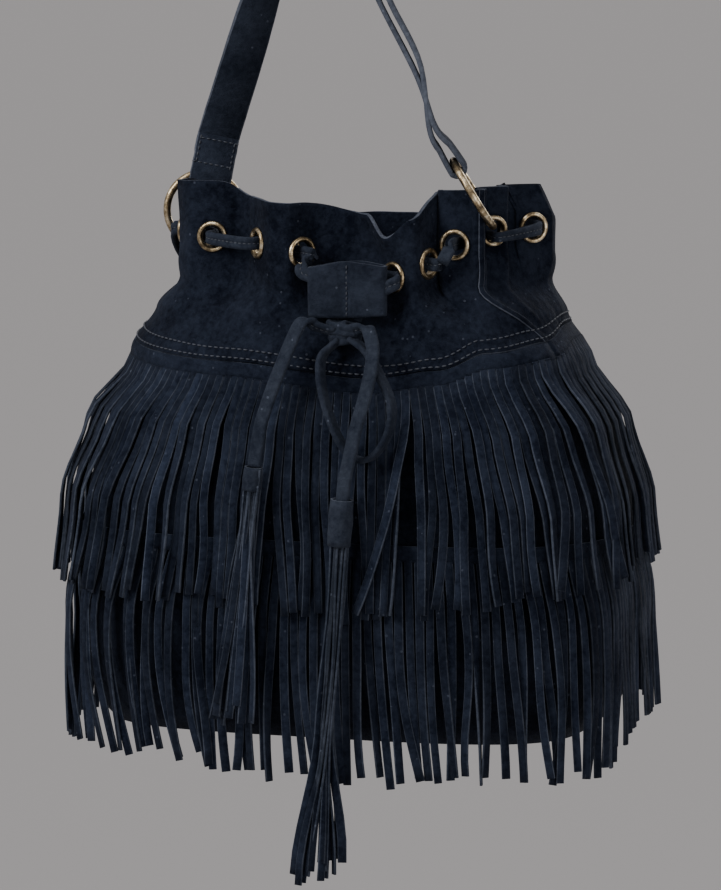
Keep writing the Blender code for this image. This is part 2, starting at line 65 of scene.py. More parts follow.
RING_EYELETS = (2, 10)
FRONT_RUN = 6
PLEAT = 0.007
FRONT_PLEAT = 0.011
EYELET_PATCH = 0.0076
SUEDE = 0.0016
BELLY = 0.045
BODY_SET_IN = 0.0034
HEADER = 0.007  # the height of a fringe's sewn header
WIRE_UP = 0.0022
LACE_DOWN = 0.00235
LACE_CLEAR = 0.0058
RING_RADIUS = 0.0168
RING_WIRE = 0.0017
STRAP_WIDTH = 0.019
STRAP_THICK = 0.0022
STRAP_LAP = 0.0175
STRAP_TURN = math.radians(17)
KEEPER_SIZE = (0.036, 0.008, 0.024)
KEEPER_AT = (0.013, -0.062, 0.200)
KNOT_AT = (0.0125, -0.066, 0.1815)

LACE_WIDTH = 0.0062
LACE_THICK = 0.0026
LACE_PITCH = 0.0023  # of the stitches along the lace and the keeper
STRAND = 0.0043
STRAND_THICK = 0.0012
UPPER_FRINGE = 0.104
LOWER_FRINGE_TOP = 0.090
EYELET_HOLE = 0.0056  # radius of the hole in the suede, under the brass lip
STEPS = 6  # points of a smooth curve between two given ones

# Strands of the upper fringe that cross their neighbours: where, and how far aside they hang.
CROSSING = [(21.0, -0.026), (52.0, -0.013), (61.0, 0.012), (70.0, -0.010), (-62.0, -0.012),
            (-71.0, -0.018)]

LACE_TO_LEFT = [(-0.0055, -0.0555, 0.2135), (-0.0085, -0.0595, 0.210), (-0.0075, -0.062, 0.207),
                (-0.001, -0.062, 0.2045), (0.005, -0.062, 0.199), (0.0082, -0.062, 0.193),
                (0.009, -0.0623, 0.1873)]
LACE_TO_RIGHT = [(0.0285, -0.0545, 0.2055), (0.033, -0.0568, 0.205), (0.0350, -0.060, 0.204),
                 (0.0315, -0.062, 0.202), (0.025, -0.062, 0.1985), (0.019, -0.062, 0.193),
                 (0.0165, -0.0623, 0.1873)]
END_LEFT = [(0.0012, -0.0715, 0.1850), (-0.0012, -0.0730, 0.1872), (-0.0045, -0.0752, 0.1862),
            (-0.0080, -0.0776, 0.1784), (-0.0119, -0.0815, 0.1669), (-0.0157, -0.0841, 0.1553),
            (-0.0190, -0.0870, 0.1428), (-0.0205, -0.0892, 0.1310), (-0.0211, -0.0903, 0.1240)]
END_RIGHT = [(0.0240, -0.0705, 0.1845), (0.0268, -0.0742, 0.1828), (0.0300, -0.0798, 0.1763),
             (0.0305, -0.0851, 0.1670), (0.0286, -0.0882, 0.1555), (0.0257, -0.0908, 0.1434),
             (0.0237, -0.0930, 0.1319), (0.0215, -0.0942, 0.1200), (0.0207, -0.0944, 0.1120)]
LOOP = [(0.0235, -0.0712, 0.1755), (0.0282, -0.0750, 0.1712), (0.0325, -0.0777, 0.1650),
        (0.0380, -0.0805, 0.1553), (0.0394, -0.0821, 0.1475), (0.0374, -0.0838, 0.1381),
        (0.0320, -0.0845, 0.1305), (0.0265, -0.0848, 0.1282), (0.0205, -0.0845, 0.1307),
        (0.0160, -0.0842, 0.1369), (0.0124, -0.0834, 0.1440), (0.0085, -0.0816, 0.1537),
        (0.0058, -0.0790, 0.1640), (0.0055, -0.0745, 0.1722)]
TASSEL_LEFT = ((-0.0212, -0.0904, 0.1236), (-0.0321, -0.0925, 0.0075))
TASSEL_RIGHT = ((0.0206, -0.0945, 0.1115), (0.0082, -0.0950, -0.0640))

UP = Vector((0, 0, 1))
SIDEWAYS = Vector((1, 0, 0))

CAMERA_TURN = math.radians(17)
CAMERA_RISE = math.radians(8)
CAMERA_FAR = 3.0
VIEW_HEIGHT = 0.4005  # of what the camera sees, at the bag


# ---- places on the bag -------------------------------------------------------------------

def at(x, y, height):
    return Vector((x, y, height)) - Vector(HANG_AT)


def between(stops, x):
    """The value at x on a smooth line through the stops."""
    if x <= stops[0][0]:
        return stops[0][1]
    for (x0, y0), (x1, y1) in zip(stops, stops[1:]):
        if x <= x1:
            share = (x - x0) / (x1 - x0)
            return y0 + (y1 - y0) * (3 - 2 * share) * share * share
    return stops[-1][1]


def ease(x):
    x = min(1.0, max(0.0, x))
    return x * x * (3 - 2 * x)


def turn_of(angle):
    return (angle + 180) % 360 - 180


def oval(angle, height):
    across, back = math.sin(math.radians(angle)), -math.cos(math.radians(angle))
    power = between(SQUARENESS, height)
    fit = (abs(across) ** power + abs(back) ** power) ** (-1 / power)
    return Vector((between(WIDTHS, height) * across * fit, between(DEPTHS, height) * back * fit))


def outward(angle, height):
    step = oval(angle + 0.5, height) - oval(angle - 0.5, height)
    return Vector((step.y, -step.x)).normalized()


def skin(angle, height, out=0.0):
    """A point below the neck's pleats; under the belly the oval stays as it is there."""
    level = max(height, BELLY)
    place = oval(angle, level) + outward(angle, level) * out
    return at(place.x, place.y, height)


def body_skin(angle, height, out=0.0):
    place = oval(angle, height) + outward(angle, height) * out
    return at(place.x, place.y, height)


def eyelet(index):
    """An eyelet's centre, the way it faces, and the way its wall runs."""
    angle, height, turn = EYELETS[index]
    place = oval(angle, height)
    facing = outward(angle, height).to_3d()
    facing.rotate(Matrix.Rotation(math.radians(turn), 3, "Z"))
    return at(place.x, place.y, height), facing, Vector((-facing.y, facing.x, 0))


def eyelet_height(angle):
    heights = [(a, h) for a, h, _ in EYELETS]
    heights = [(heights[-1][0] - 360, heights[-1][1]), *heights, (heights[0][0] + 360, heights[0][1])]
    return between(heights, turn_of(angle))


def pleat_stops():
    """How far the pleats shift the neck at the eyelets' height, by angle, for one turn and a bit."""
    stops = []
    for i, (angle, height, _) in enumerate(EYELETS):
        span = (EYELETS[(i + 1) % len(EYELETS)][0] - angle) % 360
        along = eyelet(i)[2].to_2d()
        for side in (-1, 0, 1):
            column = angle + side * (min(4.0, 0.3 * span) if side > 0 else 3.5)
            stops.append((column, oval(angle, height) + along * side * EYELET_PATCH - oval(column, height)))
        deep = (FRONT_PLEAT if i == FRONT_RUN else PLEAT) * (-1 if i % 2 == 0 else 1)
        count = max(1, int(span / 8))
        for k in range(count):
            share = 0.5 + 0.6 * ((k + 0.5) / count - 0.5)
            column = angle + share * span
            stops.append((column, outward(column, height) * deep * math.sin(math.pi * share)))
    return sorted([(a + turn, s) for a, s in stops for turn in (-360, 0, 360)], key=lambda s: s[0])


PLEATS = pleat_stops()


def pleat(angle):
    """The pleats' shift at an angle, on a smooth curve through the stops."""
    k = next(i for i, (a, _) in enumerate(PLEATS) if a > angle)
    (a0, s0), (a1, s1), (a2, s2), (a3, s3) = PLEATS[k - 2:k + 2]
    step = a2 - a1
    t = (angle - a1) / step
    rise, fall = (s2 - s0) * step / (a2 - a0), (s3 - s1) * step / (a3 - a1)
    t2, t3 = t * t, t ** 3
    return (s1 * (2 * t3 - 3 * t2 + 1) + rise * (t3 - 2 * t2 + t)
            + s2 * (3 * t2 - 2 * t3) + fall * (t3 - t2))


def sheared(angle, height):
    """An angle at the neck, moved as the side seams lean lower down."""
    middle = -40 if -90 <= turn_of(angle + 40) < 90 else 140
    off = turn_of(angle - middle)
    return angle + (between(SEAMS, height) - NECK_SEAM) * (off / 90) ** 4


def seam_height(angle):
    height = 0.172
    for _ in range(4):
        height = between(YOKE_SEAM, turn_of(sheared(angle, height)))
    return height


def yoke_skin(angle, share, out=0.0):
    """A point on the pleated neck: share 0 at its lower seam, 1 at its rim."""
    low, top = seam_height(angle), between(RIM, turn_of(angle))
    mid = eyelet_height(angle)
    height = low + share * (top - low)
    climb = min(1.0, (height - low) / (mid - EYELET_PATCH - low))
    level = min(mid, height + EYELET_PATCH * climb * climb)
    fold = ease(climb) ** 1.6
    over = max(0.0, (height - mid - EYELET_PATCH) / (top - mid - EYELET_PATCH))
    fold += 0.06 * over
    place = oval(sheared(angle, height), level) + pleat(angle) * fold
    droop = 0.0065 * math.exp(-((turn_of(angle) - 16) / 7) ** 2) * over ** 1.5
    inward = 0.0075 * over * ease((turn_of(angle) - 66) / 14) * ease((126 - turn_of(angle)) / 20)
    place += outward(angle, level) * (droop - inward + out)
    return at(place.x, place.y, height)


# ---- building meshes ---------------------------------------------------------------------

def placed(name, data):
    """An object with this data, in the scene."""
    thing = bpy.data.objects.new(name, data)
    bpy.context.scene.collection.objects.link(thing)
    return thing


class Build:
    """Verts, faces, each face's material and each vert's tone, gathered into one mesh."""

    def __init__(self):
        self.verts, self.faces, self.slots, self.tones = [], [], [], []

    def add(self, verts, faces, slots, tone=0.0):
        start = len(self.verts)
        self.verts += verts
        self.faces += [tuple(start + i for i in face) for face in faces]
        self.slots += slots
        self.tones += [tone] * len(verts)

    def make(self, name, finishes, nodes=(), body="root"):
        mesh = bpy.data.meshes.new(name)
        mesh.from_pydata([tuple(v) for v in self.verts], [], self.faces)
        for finish in finishes:
            mesh.materials.append(finish)
        for face, slot_index in zip(mesh.polygons, self.slots):
            face.material_index = slot_index
        mesh.shade_smooth()
        tone = mesh.attributes.new("tone", "FLOAT", "POINT")
        tone.data.foreach_set("value", self.tones)
        bm = bmesh.new()
        bm.from_mesh(mesh)
        bmesh.ops.recalc_face_normals(bm, faces=bm.faces)
        bm.to_mesh(mesh)
        bm.free()
        thing = placed(name, mesh)
        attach(thing, body)
        if nodes:
            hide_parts(*nodes)
        return thing


def smooth_through(points, steps):
    """Points on a Catmull-Rom curve through the given ones."""
    ends = [2 * points[0] - points[1], *points, 2 * points[-1] - points[-2]]
    line = []
    for a, b, c, d in zip(ends, ends[1:], ends[2:], ends[3:]):
        for k in range(steps):
            t = k / steps
            line.append(0.5 * (2 * b + (c - a) * t + (2 * a - 5 * b + 4 * c - d) * t * t
                               + (3 * b - a - 3 * c + d) * t ** 3))
    return [*line, points[-1]]


# The lace's section, in shares of its width and thickness, with a groove where it is sewn.
LACE_OUTLINE = [(-0.5, 0.0), (-0.46, 0.34), (-0.30, 0.5), (-0.08, 0.44), (0.0, 0.30), (0.08, 0.44),
                (0.30, 0.5), (0.46, 0.34), (0.5, 0.0), (0.46, -0.34), (0.30, -0.5), (0.0, -0.42),
                (-0.30, -0.5), (-0.46, -0.34)]
LACE_SECTION = ([(u * LACE_WIDTH, v * LACE_THICK) for u, v in LACE_OUTLINE], [False] * 14)


def strip_section(width, thick):
    """A flat strip's section: its points, and which of its sides are cut edges."""
    half, high = width / 2, thick / 2
    soft = min(0.25 * thick, 0.25 * width)
    points = [(-half + soft, high), (half - soft, high), (half, high - soft), (half, -high + soft),
              (half - soft, -high), (-half + soft, -high), (-half, -high + soft), (-half, high - soft)]
    return points, [False, True, True, True, False, True, True, True]


def way_at(points, k):
    """The way a line goes at its point k."""
    return (points[min(k + 1, len(points) - 1)] - points[max(k - 1, 0)]).normalized()


def frames_of(points, wides):
    """For each point on a line: the way it goes, its width and its thickness directions."""
    frames = []
    for k, aim in enumerate(wides):
        way = way_at(points, k)
        wide = aim - way * aim.dot(way)
        wide.normalize()
        frames.append((way, wide, way.cross(wide)))
    return frames


def sweep(build, points, wides, section, scale=None, tone=0.0):
    """A closed strip along the points; scale(k) gives a station's (width, thickness) factors."""
    outline, edges = section
    count = len(outline)
    verts, faces, slots = [], [], []
    for k, (_, wide, high) in enumerate(frames_of(points, wides)):
        w, t = scale(k) if scale else (1, 1)
        verts += [points[k] + wide * (u * w) + high * (v * t) for u, v in outline]
    for k in range(len(points) - 1):
        for j in range(count):
            a, b = k * count + j, k * count + (j + 1) % count
            faces.append((a, b, b + count, a + count))
            slots.append(1 if edges[j] else 0)
    last = (len(points) - 1) * count
    faces += [tuple(range(count)), tuple(range(last, last + count))]
    slots += [1, 1]
    build.add(verts, faces, slots, tone)


def panel(build, outer, inner, tone=0.0):
    """A closed sheet between two grids of points, columns of rows; its edges take slot 1."""
    columns, rows = len(outer), len(outer[0])
    verts = [p for column in outer for p in column] + [p for column in inner for p in column]
    under = columns * rows
    faces, slots = [], []
    for c in range(columns - 1):
        for r in range(rows - 1):
            a = c * rows + r
            quad = (a, a + rows, a + rows + 1, a + 1)
            faces += [quad, tuple(under + i for i in reversed(quad))]
            slots += [0, 0]
    rim = [c * rows for c in range(columns)] + [(columns - 1) * rows + r for r in range(1, rows)]
    rim += [c * rows + rows - 1 for c in reversed(range(columns - 1))]
    rim += reversed(range(1, rows - 1))
    for a, b in zip(rim, rim[1:] + rim[:1]):
        faces.append((a, b, under + b, under + a))
        slots.append(1)
    build.add(verts, faces, slots, tone)


def turned_shape(build, profile, segments, centre, axis):
    """A closed ring turned from (radius, along) points."""
    side = axis.orthogonal().normalized()
    other = axis.cross(side)
    count = len(profile)
    verts, faces = [], []
    for k in range(segments):
        turn = math.tau * k / segments
        spoke = side * math.cos(turn) + other * math.sin(turn)
        verts += [centre + spoke * radius + axis * along for radius, along in profile]
    for k in range(segments):
        for j in range(count):
            after, beyond = (j + 1) % count, (k + 1) % segments * count
            faces.append((k * count + j, k * count + after, beyond + after, beyond + j))
    build.add(verts, faces, [0] * len(faces))


def stitch(build, start, end, out, radius):
    """One stitch: a fat thread that dips into the suede at both ends."""
    way = end - start
    side = way.normalized().cross(out)
    verts, faces = [], []
    stations = ((0, -0.5, 0.5), (0.2, 0.5, 1), (0.5, 0.8, 1.1), (0.8, 0.5, 1), (1, -0.5, 0.5))
    for share, lift, fat in stations:
        middle = start + way * share + out * (lift * radius)
        for k in range(5):
            turn = math.tau * k / 5
            verts.append(middle + (side * math.cos(turn) + out * math.sin(turn)) * radius * fat)
    for ring in range(4):
        for k in range(5):
            a, b = ring * 5 + k, ring * 5 + (k + 1) % 5
            faces.append((a, b, b + 5, a + 5))
    faces += [(0, 1, 2, 3, 4), (20, 21, 22, 23, 24)]
    build.add(verts, faces, [0] * len(faces))


def stitch_row(build, points, outs, pitch, radius=0.00028):
    """Stitches of equal pitch along a line of points."""
    left = 0.0
    for a, b, out in zip(points, points[1:], outs):
        long = (b - a).length
        while left < long:
            start = a.lerp(b, left / long)
            stitch(build, start, start + (b - a).normalized() * pitch * 0.72, out, radius)
            left += pitch
        left -= long


# ---- materials ---------------------------------------------------------------------------

def node(tree, kind, **values):
    """A shader node, with its named sockets or settings given values."""
    made = tree.nodes.new(kind)
    for name, value in values.items():
        if name in made.inputs:
            made.inputs[name].default_value = value
        else:
            setattr(made, name, value)
    return made


def ramp(tree, source, stops):
    """The colours between the stops, picked by the source."""
    made = tree.nodes.new("ShaderNodeValToRGB")
    bar = made.color_ramp
    while len(bar.elements) < len(stops):
        bar.elements.new(0.5)
    for element, (place, colour) in zip(bar.elements, stops):
        element.position = place
        element.color = (*colour, 1)
    tree.links.new(source, made.inputs["Fac"])
    return made.outputs["Color"]


def suede(name, dark, light, lint=1.0):
    """Suede: nap brushed light and dark in patches, a fine fuzz, a faint sheen and specks of lint."""
    finish = bpy.data.materials.new(name)
    finish.use_nodes = True
    tree = finish.node_tree
    link = tree.links.new
    shader = tree.nodes["Principled BSDF"]
    shader.inputs["Roughness"].default_value = 0.93
    shader.inputs["Specular IOR Level"].default_value = 0.06
    shader.inputs["Sheen Weight"].default_value = 0.03
    shader.inputs["Sheen Roughness"].default_value = 0.45
    shader.inputs["Sheen Tint"].default_value = (0.62, 0.68, 0.85, 1)
    place = node(tree, "ShaderNodeTexCoord").outputs["Object"]
    patches = node(tree, "ShaderNodeTexNoise", Scale=42.0, Detail=5.0, Roughness=0.6)
    fuzz = node(tree, "ShaderNodeTexNoise", Scale=1400.0, Detail=3.0, Roughness=0.7)
    grain = node(tree, "ShaderNodeTexNoise", Scale=380.0, Detail=5.0, Roughness=0.65)
    for texture in (patches, fuzz, grain):
        link(place, texture.inputs["Vector"])
    mixed = node(tree, "ShaderNodeMath", operation="MULTIPLY_ADD")
    mixed.inputs[1].default_value = 0.45
    link(grain.outputs["Fac"], mixed.inputs[0])
    half = node(tree, "ShaderNodeMath", operation="MULTIPLY")
    half.inputs[1].default_value = 0.55
    link(patches.outputs["Fac"], half.inputs[0])
    link(half.outputs[0], mixed.inputs[2])
    colour = ramp(tree, mixed.outputs[0], [(0.40, dark), (0.61, light)])
    # The tone attribute scales the colour: random from strand to strand, and painted shade on the wall
    # behind the fringe and on the base.
    tone = node(tree, "ShaderNodeAttribute", attribute_name="tone")
    lift = node(tree, "ShaderNodeMath", operation="ADD")
    lift.inputs[1].default_value = 1.0
    link(tone.outputs["Fac"], lift.inputs[0])
    toned = node(tree, "ShaderNodeVectorMath", operation="SCALE")
    link(colour, toned.inputs[0])
    link(lift.outputs[0], toned.inputs["Scale"])
    cells = node(tree, "ShaderNodeTexVoronoi", Scale=430.0)
    link(place, cells.inputs["Vector"])
    small = node(tree, "ShaderNodeMath", operation="LESS_THAN")
    small.inputs[1].default_value = 0.24
    link(cells.outputs["Distance"], small.inputs[0])
    parts = node(tree, "ShaderNodeSeparateColor")
    link(cells.outputs["Color"], parts.inputs["Color"])
    few = node(tree, "ShaderNodeMath", operation="GREATER_THAN")
    few.inputs[1].default_value = 0.955
    link(parts.outputs["Red"], few.inputs[0])
    speck = node(tree, "ShaderNodeMath", operation="MULTIPLY")
    link(small.outputs[0], speck.inputs[0])
    link(few.outputs[0], speck.inputs[1])
    lint_colour = node(tree, "ShaderNodeVectorMath", operation="SCALE")
    lint_colour.inputs[0].default_value = (0.030 * lint, 0.034 * lint, 0.044 * lint)
    link(speck.outputs[0], lint_colour.inputs["Scale"])
    dusted = node(tree, "ShaderNodeVectorMath", operation="ADD")
    link(toned.outputs["Vector"], dusted.inputs[0])
    link(lint_colour.outputs["Vector"], dusted.inputs[1])
    link(dusted.outputs["Vector"], shader.inputs["Base Color"])
    rough = node(tree, "ShaderNodeBump", Strength=0.8, Distance=0.00035)
    link(fuzz.outputs["Fac"], rough.inputs["Height"])
    soft = node(tree, "ShaderNodeBump", Strength=0.8, Distance=0.00077)
    link(grain.outputs["Fac"], soft.inputs["Height"])
    link(rough.outputs["Normal"], soft.inputs["Normal"])
    link(soft.outputs["Normal"], shader.inputs["Normal"])
    return finish


def thread(name, colour):
    finish = bpy.data.materials.new(name)
    finish.use_nodes = True
    tree = finish.node_tree
    shader = tree.nodes["Principled BSDF"]
    shader.inputs["Roughness"].default_value = 0.62
    place = node(tree, "ShaderNodeTexCoord").outputs["Object"]
    twist = node(tree, "ShaderNodeTexNoise", Scale=1800.0, Detail=2.0)
    tree.links.new(place, twist.inputs["Vector"])
    dark = tuple(c * 0.6 for c in colour)
    tree.links.new(ramp(tree, twist.outputs["Fac"], [(0.35, dark), (0.65, colour)]),
                   shader.inputs["Base Color"])
    return finish


def antique_brass(name):
    """Brass gone brown in patches, rubbed bright where it is worn."""
    finish = bpy.data.materials.new(name)
    finish.use_nodes = True
    tree = finish.node_tree
    link = tree.links.new
    shader = tree.nodes["Principled BSDF"]
    shader.inputs["Metallic"].default_value = 1.0
    place = node(tree, "ShaderNodeTexCoord").outputs["Object"]
    tarnish = node(tree, "ShaderNodeTexNoise", Scale=260.0, Detail=5.0, Roughness=0.62)
    scratch = node(tree, "ShaderNodeTexNoise", Scale=1600.0, Detail=2.0)
    for texture in (tarnish, scratch):
        link(place, texture.inputs["Vector"])
    colour = ramp(tree, tarnish.outputs["Fac"],
                  [(0.36, (0.095, 0.070, 0.042)), (0.50, (0.34, 0.26, 0.155)), (0.66, (0.80, 0.69, 0.50))])
    link(colour, shader.inputs["Base Color"])
    dull = node(tree, "ShaderNodeMapRange")
    dull.inputs["To Min"].default_value = 0.46
    dull.inputs["To Max"].default_value = 0.22
    link(tarnish.outputs["Fac"], dull.inputs["Value"])
    link(dull.outputs["Result"], shader.inputs["Roughness"])
    pits = node(tree, "ShaderNodeBump", Strength=0.25, Distance=0.0002)
    link(scratch.outputs["Fac"], pits.inputs["Height"])
    link(pits.outputs["Normal"], shader.inputs["Normal"])
    return finish


def plain(name, colour):
    finish = bpy.data.materials.new(name)
    finish.use_nodes = True
    shader = finish.node_tree.nodes["Principled BSDF"]
    shader.inputs["Base Color"].default_value = (*colour, 1)
    shader.inputs["Roughness"].default_value = 0.9
    return finish


NAP = suede("suede_nap", (0.0016, 0.0026, 0.0064), (0.0112, 0.0148, 0.0255), lint=0.7)
NAP_EDGE = suede("suede_cut_edge", (0.034, 0.040, 0.055), (0.080, 0.090, 0.115))
STRAP_NAP = suede("suede_strap", (0.0075, 0.0100, 0.0170), (0.0190, 0.0240, 0.0370))
STRANDS = suede("suede_strands", (0.0034, 0.0050, 0.0105), (0.0135, 0.0178, 0.0305), lint=0.7)
STRAND_EDGE = suede("suede_strand_edge", (0.018, 0.023, 0.034), (0.046, 0.054, 0.074))
LACE_NAP = suede("suede_lace", (0.0095, 0.0125, 0.0210), (0.0260, 0.0320, 0.0460))
THREAD = thread("thread", (0.036, 0.042, 0.058))
BRASS = antique_brass("antique_brass")


# ---- neck, body and base -----------------------------------------------------------------

def in_eyelet(point):
    for i in range(len(EYELETS)):
        centre, facing, _ = eyelet(i)
        off = point - centre
        away = off.dot(facing)
        if abs(away) < 0.006 and (off - facing * away).length < EYELET_HOLE:
            return True
    return False


def yoke(name, first, last):
    """Half of the pleated neck, as a thick sheet with its eyelet holes open."""
    columns, rows = 216, 44
    margin = 0.25
    mesh = bpy.data.meshes.new(name)
    points = []
    for c in range(columns + 1):
        angle = first + margin + (last - first - 2 * margin) * c / columns
        for r in range(rows + 1):
            share = r / rows
            crumple = noise.noise(Vector((angle * 0.09, share * 2.2, first))) * 0.0017
            crumple += noise.noise(Vector((angle * 0.35, share * 5, 7.0))) * 0.0004
            crumple *= 0.25 + 0.75 * abs(2 * share - 1)
            points.append(yoke_skin(angle, share, crumple))
    faces = []
    for c in range(columns):
        for r in range(rows):
            a = c * (rows + 1) + r
            quad = (a, a + rows + 1, a + rows + 2, a + 1)
            if not in_eyelet(sum((points[i] for i in quad), Vector()) / 4):
                faces.append(quad)
    mesh.from_pydata([tuple(p) for p in points], [], faces)
    for finish in (NAP, NAP_EDGE):
        mesh.materials.append(finish)
    mesh.shade_smooth()
    thing = placed(name, mesh)
    thick = thing.modifiers.new("thickness", "SOLIDIFY")
    thick.thickness = SUEDE
    thick.offset = -1
    thick.material_offset_rim = 1
    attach(thing, "root")
    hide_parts(name.replace("_suede", ""))


def body(name, side, node_name):
    """Half of the bag's wall, set in behind the fringe."""
    build = Build()
    outer, inner = [], []
    for c in range(73):
        share = c / 72
        out_column, in_column = [], []
        for r in range(25):
            rise = r / 24
            angle = between(SEAMS, rise * 0.172) + side - 179.8 + share * 179.6
            top = between(YOKE_SEAM, turn_of(angle)) + 0.004
            height = top * rise
            dent = noise.noise(Vector((angle * 0.03, height * 18, 3.0))) * 0.0008
            out_column.append(body_skin(angle, height, -BODY_SET_IN + dent - 0.0006))
            in_column.append(body_skin(angle, height, -BODY_SET_IN + dent - 0.0020))
        outer.append(out_column)
        inner.append(in_column)
    # The wall's colour is darkened by a quarter through its tone: painted shade, where the fringe hangs
    # over it.
    panel(build, outer, inner, -0.25)
    made = build.make(name, (NAP, NAP_EDGE), (node_name,))


def base():
    """The flat base, with the turned-in seam round its edge."""
    build = Build()
    rings = []
    for inset, height in ((0.0052, 0.0), (0.0049, 0.0012), (0.0075, 0.0016), (0.030, 0.0016)):
        rings.append([body_skin(a, 0.0, -inset) + UP * height for a in range(0, 360, 4)])
    count = len(rings[0])
    verts = [p for ring in rings for p in ring]
    faces, slots = [], []
    for r in range(3):
        for k in range(count):
            a, b = r * count + k, r * count + (k + 1) % count
            faces.append((a, b, b + count, a + count))
            slots.append(0)
    faces += [tuple(range(count)), tuple(range(3 * count, 4 * count))]
    slots += [0, 0]
    # The base's colour is darkened a little through its tone: painted shade on the underside of the bag.
    build.add(verts, faces, slots, -0.1)
    build.make("base_suede", (NAP, NAP_EDGE), ("base_panel",))


# ---- fringe ------------------------------------------------------------------------------

def even_angles(first, last, width, height):
    """Angles that split a stretch of the oval into equal strips, near the given width."""
    samples = [first + (last - first) * k / 720 for k in range(721)]
    along = [0.0]
    for a, b in zip(samples, samples[1:]):
        along.append(along[-1] + (oval(b, height) - oval(a, height)).length)
    count = round(along[-1] / width)
    edges, spot = [], 0
    for k in range(count + 1):
        while along[spot] < along[-1] * k / count - 1e-9:
            spot += 1
        edges.append(samples[spot])
    return edges


def fringe(name, first, last, node_name, shape, seed, crossing=()):
    """Half a tier of fringe: the sewn header, and strands that each hang their own way.

    shape holds, by angle, the top, the tip, how far strands lean and how far they bow; and by
    height and top, how far out they hang.
    """
    top_of, tip_of, lean_of, bow_of, drift = shape
    rng = random.Random(seed)
    build = Build()
    edges = even_angles(first + 0.2, last - 0.2, STRAND, 0.12)
    outer = [[skin(a, top_of(a) - HEADER * r / 3, 0.0) for r in (3, 2, 1, 0)] for a in edges]
    inner = [[skin(a, top_of(a) - HEADER * r / 3, -0.0013) for r in (3, 2, 1, 0)] for a in edges]
    panel(build, outer, inner)
    clump = 0.0
    for k, (left, right) in enumerate(zip(edges, edges[1:])):
        angle = (left + right) / 2
        top, tip = top_of(angle) - HEADER + 0.0006, tip_of(angle)
        clump = 0.72 * clump + rng.gauss(0, 0.0016)
        long = (top - tip) * rng.uniform(0.965, 1.035)
        lean = clump + rng.gauss(0, 0.0012) + lean_of(turn_of(angle)) * rng.uniform(0.4, 1.3)
        bow = bow_of(turn_of(angle)) * rng.uniform(0.5, 1.3)
        wave, phase = rng.gauss(0, 0.0015), rng.uniform(0, math.tau)
        flip = rng.gauss(0, 20)
        if rng.random() < 0.13:
            flip += rng.choice((-1, 1)) * rng.uniform(35, 85)
        lift = 0.0011 * (k % 2) + rng.uniform(0, 0.0009)
        swing = abs(rng.gauss(0, 0.0016))
        for where, sideways in crossing:
            if left <= where < right:
                lean, bow, lift, flip = sideways, 0.0, 0.0042, 25
        points, wides = [], []
        for s in range(15):
            share = s / 14
            height = top - long * share
            out = drift(height, top) + (lift + swing * share) * ease(share * 4) - 0.0006
            place = skin(angle, height, out)
            normal = outward(angle, max(height, BELLY)).to_3d()
            tangent = Vector((-normal.y, normal.x, 0))
            slide = lean * share ** 1.6 + wave * math.sin(phase + 5.2 * share) * share
            slide += bow * math.sin(math.pi * share)
            turn = math.radians(flip) * ease(share * 1.4 - 0.25)
            points.append(place + tangent * slide)
            wides.append(tangent * math.cos(turn) + normal * math.sin(turn))
        section = strip_section(STRAND * rng.uniform(0.80, 0.93), STRAND_THICK)
        sweep(build, points, wides, section, tone=rng.gauss(0, 0.16))
    made = build.make(name, (STRANDS, STRAND_EDGE), (node_name,))
    middle = (first + last) / 2
    top_of(middle) - tip_of(middle)


def upper_top(angle):
    return between(YOKE_SEAM, turn_of(angle)) - 0.0004


def upper_tip(angle):
    return between(YOKE_SEAM, turn_of(angle)) - UPPER_FRINGE


def upper_lean(turn):
    return -0.007 * ease(-turn / 90) + 0.004 * ease(turn / 90) if abs(turn) < 100 else 0.0


def upper_drift(height, top):
    return 0.0034 * ease((top - height) / 0.05)


def lower_tip(angle):
    stops = [(-90, -0.004), (-30, -0.008), (0, -0.015), (55, -0.013), (85, 0.004)]
    return between(stops, turn_of(angle))


def lower_lean(turn):
    return between([(-100, 0.002), (-40, 0.004), (0, 0.001), (60, 0.008), (110, 0.0)], turn)


def lower_bow(turn):
    return between([(-100, -0.004), (-45, -0.0085), (-5, -0.002), (60, 0.004), (110, 0.0)], turn)


def lower_drift(height, top):
    return 0.0008 * ease((top - height) / 0.04)


UPPER = (upper_top, upper_tip, upper_lean, lambda turn: 0.0, upper_drift)
LOWER = (lambda angle: LOWER_FRINGE_TOP, lower_tip, lower_lean, lower_bow, lower_drift)


# ---- brass -------------------------------------------------------------------------------

def grommet(index):
    """A rolled eyelet: domed lip, barrel and the washer behind."""
    centre, facing, _ = eyelet(index)
    profile = []
    for k in range(11):
        turn = math.pi * k / 10
        profile.append((0.00588 - 0.00120 * math.cos(turn), 0.0003 + 0.00135 * math.sin(turn)))
    profile += [(0.0069, 0.0001), (0.0054, 0.0), (0.0054, -SUEDE - 0.0002)]
    for k in range(5):
        turn = math.pi * k / 4
        profile.append((0.00565 + 0.00075 * math.cos(turn), -SUEDE - 0.0004 - 0.0007 * math.sin(turn)))
    profile += [(0.00492, -SUEDE), (0.00480, 0.0001)]
    build = Build()
    turned_shape(build, profile, 44, centre, facing)
    build.make(f"eyelet_{index + 1:02d}", (BRASS,), (f"grommet_{index + 1:02d}",))


def turned(across, back, up):
    """A direction in the plane that the strap hangs in."""
    return Matrix.Rotation(STRAP_TURN, 3, "Z") @ Vector((across, back, up))


def hung(across, back, height):
    return at(*turned(across, back, height))


def ring_frames():
    """For each ring: its lowest wire point, the way up to its strap, and the wire's way there."""
    left = eyelet(RING_EYELETS[0])[0] + UP * WIRE_UP
    right = eyelet(RING_EYELETS[1])[0] + UP * WIRE_UP
    return ((left, turned(0.196, 0, 0.981), turned(0.981, 0, -0.196)),
            (right, turned(-0.523, 0, 0.852), turned(0, 1, 0)))


